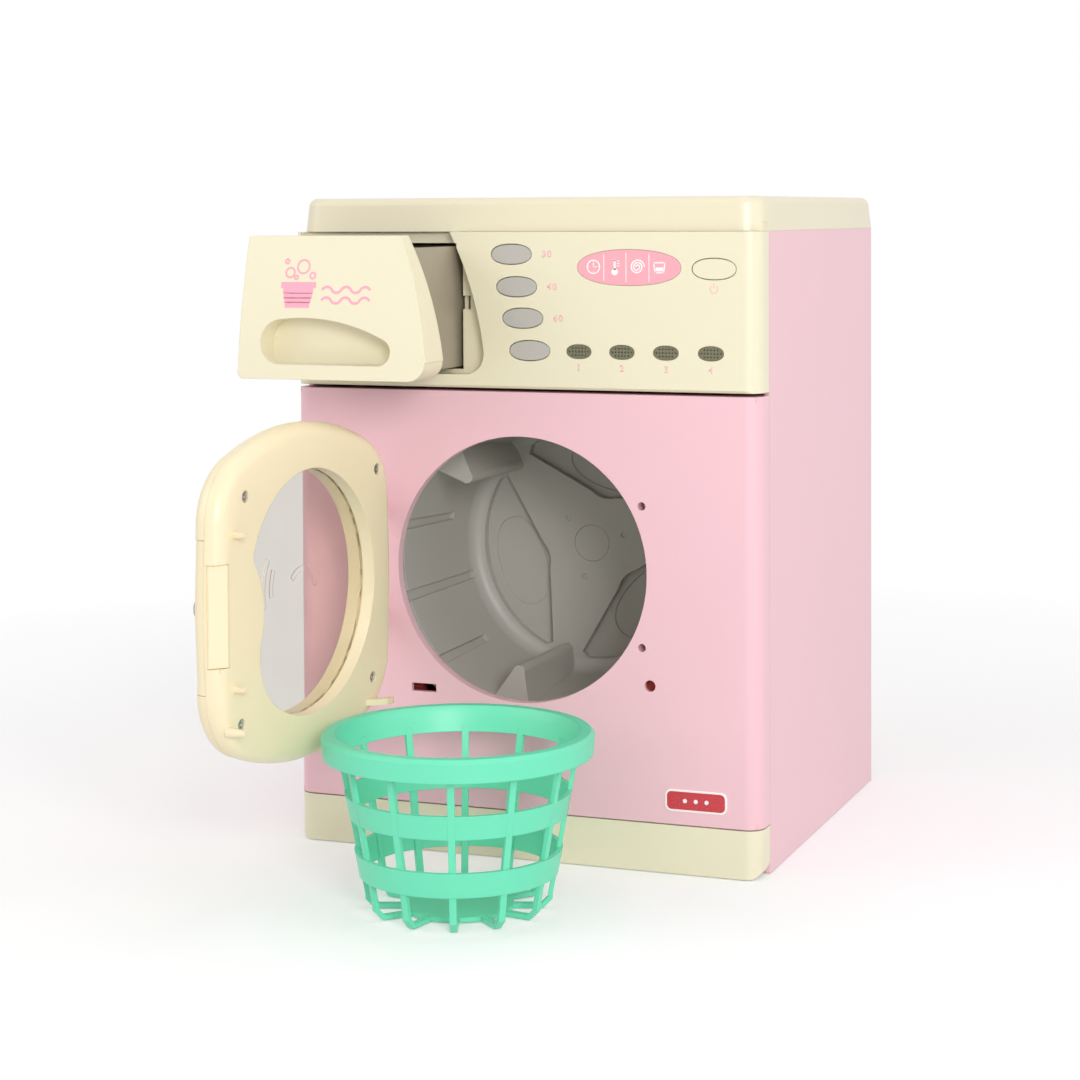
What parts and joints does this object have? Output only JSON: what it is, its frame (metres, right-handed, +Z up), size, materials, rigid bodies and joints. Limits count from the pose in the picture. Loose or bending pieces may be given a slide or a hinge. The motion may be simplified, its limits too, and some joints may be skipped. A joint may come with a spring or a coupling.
{
  "type": "toy washing machine",
  "caption": "Toy front-loading washing machine with a turning drum, hinged clear-window door, pull-out detergent drawer, push buttons and a loose laundry basket.",
  "frame": {"origin": "on the floor under the middle of the cabinet's footprint", "axes": "+Z up, the front with door, drawer and buttons faces -Y, +X is to the right seen from the front"},
  "size_m": [0.225, 0.3645, 0.299],
  "materials": {
    "cream_abs": "satin",
    "pink_abs": "satin",
    "mint_pp": "satin",
    "drum_grey": "satin",
    "button_grey": "satin",
    "drawer_taupe": "satin",
    "badge_pink": "gloss",
    "led_olive": "satin",
    "board_green": "satin",
    "led_clear": "gloss",
    "black_plastic": "satin",
    "white_pom": "satin",
    "bush_pom": "satin",
    "steel": "satin",
    "cell_wrap": "gloss",
    "red_plastic": "satin",
    "clear_ps": "gloss",
    "rubber": "matte"
  },
  "bodies": {
    "cabinet": {"side_shell": "pink_abs", "front_panel": "pink_abs", "base_tray": "cream_abs", "control_panel": "cream_abs", "top_lid": "cream_abs", "drawer_tunnel": "cream_abs", "icon_badge": "badge_pink", "led_windows": "led_olive", "led_board": "board_green", "leds": "led_clear", "tact_switches": "black_plastic", "bearing_plate": "drum_grey", "spindle_bush": "bush_pom", "motor": "steel", "motor_clamp": "black_plastic", "battery_box": "black_plastic", "battery_cells": "cell_wrap", "battery_contacts": "steel", "battery_door": "pink_abs", "battery_screw": "steel", "speaker": "black_plastic", "door_switch": "red_plastic", "peg_socket": "red_plastic", "hinge_pins": "steel", "rubber_feet": "rubber", "case_screws": "steel"},
    "door": {"door_inner_shell": "cream_abs", "door_outer_shell": "cream_abs", "door_window": "clear_ps", "door_handle": "cream_abs", "door_catch_cover": "cream_abs", "door_screws": "steel"},
    "door_button": {"release_button": "button_grey"},
    "drawer": {"drawer_front": "cream_abs", "drawer_box": "drawer_taupe", "drawer_screws": "steel"},
    "drum": {"drum_shell": "drum_grey", "hub_cap": "drum_grey", "drum_spindle": "steel", "drum_gear": "white_pom", "spindle_clip": "steel"},
    "pinion": {"motor_pinion": "white_pom", "motor_shaft": "steel"},
    "key_1": {"function_button_1": "button_grey"},
    "key_2": {"function_button_2": "button_grey"},
    "key_3": {"function_button_3": "button_grey"},
    "key_4": {"function_button_4": "button_grey"},
    "key_power": {"power_button": "cream_abs"},
    "basket_body": {"basket": "mint_pp"}
  },
  "joints": [
    {"name": "door_hinge", "type": "hinge", "parent": "cabinet", "child": "door", "pos_m": [-0.0693, -0.1195, 0.1313], "axis": [0, 0, 1], "range_deg": [0, 95.3]},
    {"name": "release_press", "type": "slide", "parent": "door", "child": "door_button", "axis": [0.9957, -0.0924, 0], "range_m": [0, 0.0013], "stiffness_N_per_m": 250},
    {"name": "drawer_slide", "type": "slide", "parent": "cabinet", "child": "drawer", "axis": [0, -1, 0], "range_m": [-0.051, 0.008]},
    {"name": "drum_spin", "type": "hinge", "parent": "cabinet", "child": "drum", "pos_m": [0, 0, 0.1313], "axis": [0, 1, 0], "continuous": true},
    {"name": "pinion_spin", "type": "hinge", "parent": "cabinet", "child": "pinion", "pos_m": [0, 0, 0.0953], "axis": [0, 1, 0], "continuous": true},
    {"name": "key_1_press", "type": "slide", "parent": "cabinet", "child": "key_1", "axis": [0, 1, 0], "range_m": [0, 0.002], "stiffness_N_per_m": 180},
    {"name": "key_2_press", "type": "slide", "parent": "cabinet", "child": "key_2", "axis": [0, 1, 0], "range_m": [0, 0.002], "stiffness_N_per_m": 180},
    {"name": "key_3_press", "type": "slide", "parent": "cabinet", "child": "key_3", "axis": [0, 1, 0], "range_m": [0, 0.002], "stiffness_N_per_m": 180},
    {"name": "key_4_press", "type": "slide", "parent": "cabinet", "child": "key_4", "axis": [0, 1, 0], "range_m": [0, 0.002], "stiffness_N_per_m": 180},
    {"name": "key_power_press", "type": "slide", "parent": "cabinet", "child": "key_power", "axis": [0, 1, 0], "range_m": [0, 0.002], "stiffness_N_per_m": 180},
    {"name": "basket_shift", "type": "slide", "parent": "cabinet", "child": "basket_body", "axis": [1, 0, 0], "range_m": [0, 0.186]}
  ],
  "couplings": [
    {"joint": "pinion_spin", "follows": "drum_spin", "ratio": -5},
    {"joint": "basket_shift", "follows": "door_hinge", "m_per_rad": 0.11}
  ]
}
